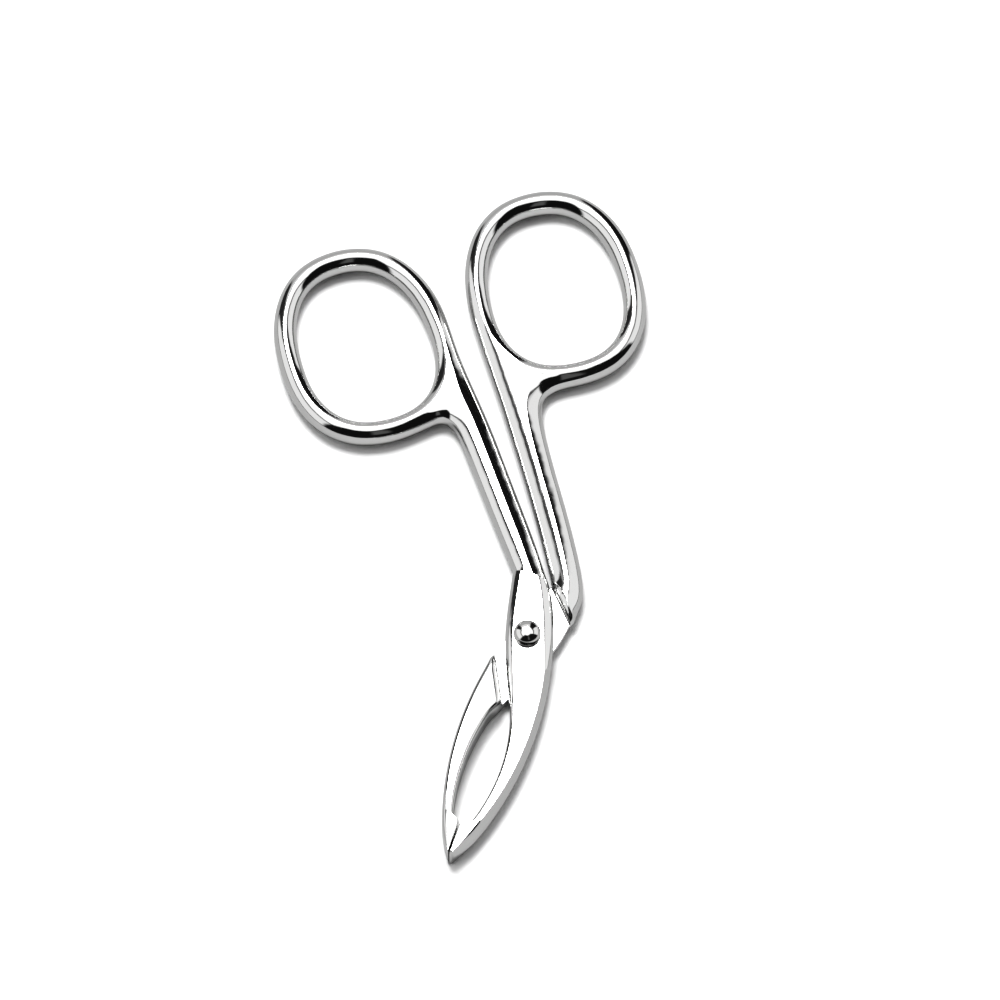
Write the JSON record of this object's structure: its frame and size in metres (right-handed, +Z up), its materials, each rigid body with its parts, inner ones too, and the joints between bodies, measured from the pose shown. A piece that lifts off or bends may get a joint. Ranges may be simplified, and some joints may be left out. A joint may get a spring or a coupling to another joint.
{
  "type": "scissor-handled tweezers",
  "caption": "Chromed scissor-handled tweezers: bent levers with finger rings cross at a half-lap on a domed rivet and end in slim angled gripping jaws.",
  "frame": {"origin": "on the rivet's axis, at the underside that the tool rests on", "axes": "+Y from the rivet to between the finger rings, +Z up towards the rivet's domed head, jaws closed and angled towards -X"},
  "size_m": [0.0479, 0.0914, 0.0051],
  "materials": {
    "lever_chrome": "bright chrome plate over polished steel",
    "rivet_chrome": "bright plated steel, polished dome"
  },
  "bodies": {
    "rear_half": {"rear_lever": "lever_chrome", "pivot_rivet": "rivet_chrome"},
    "front_half": {"front_lever": "lever_chrome"}
  },
  "joints": [
    {"name": "pivot", "type": "hinge", "parent": "rear_half", "child": "front_half", "pos_m": [0, 0, 0.0018], "axis": [0, 0, 1], "range_deg": [0, 60]}
  ]
}
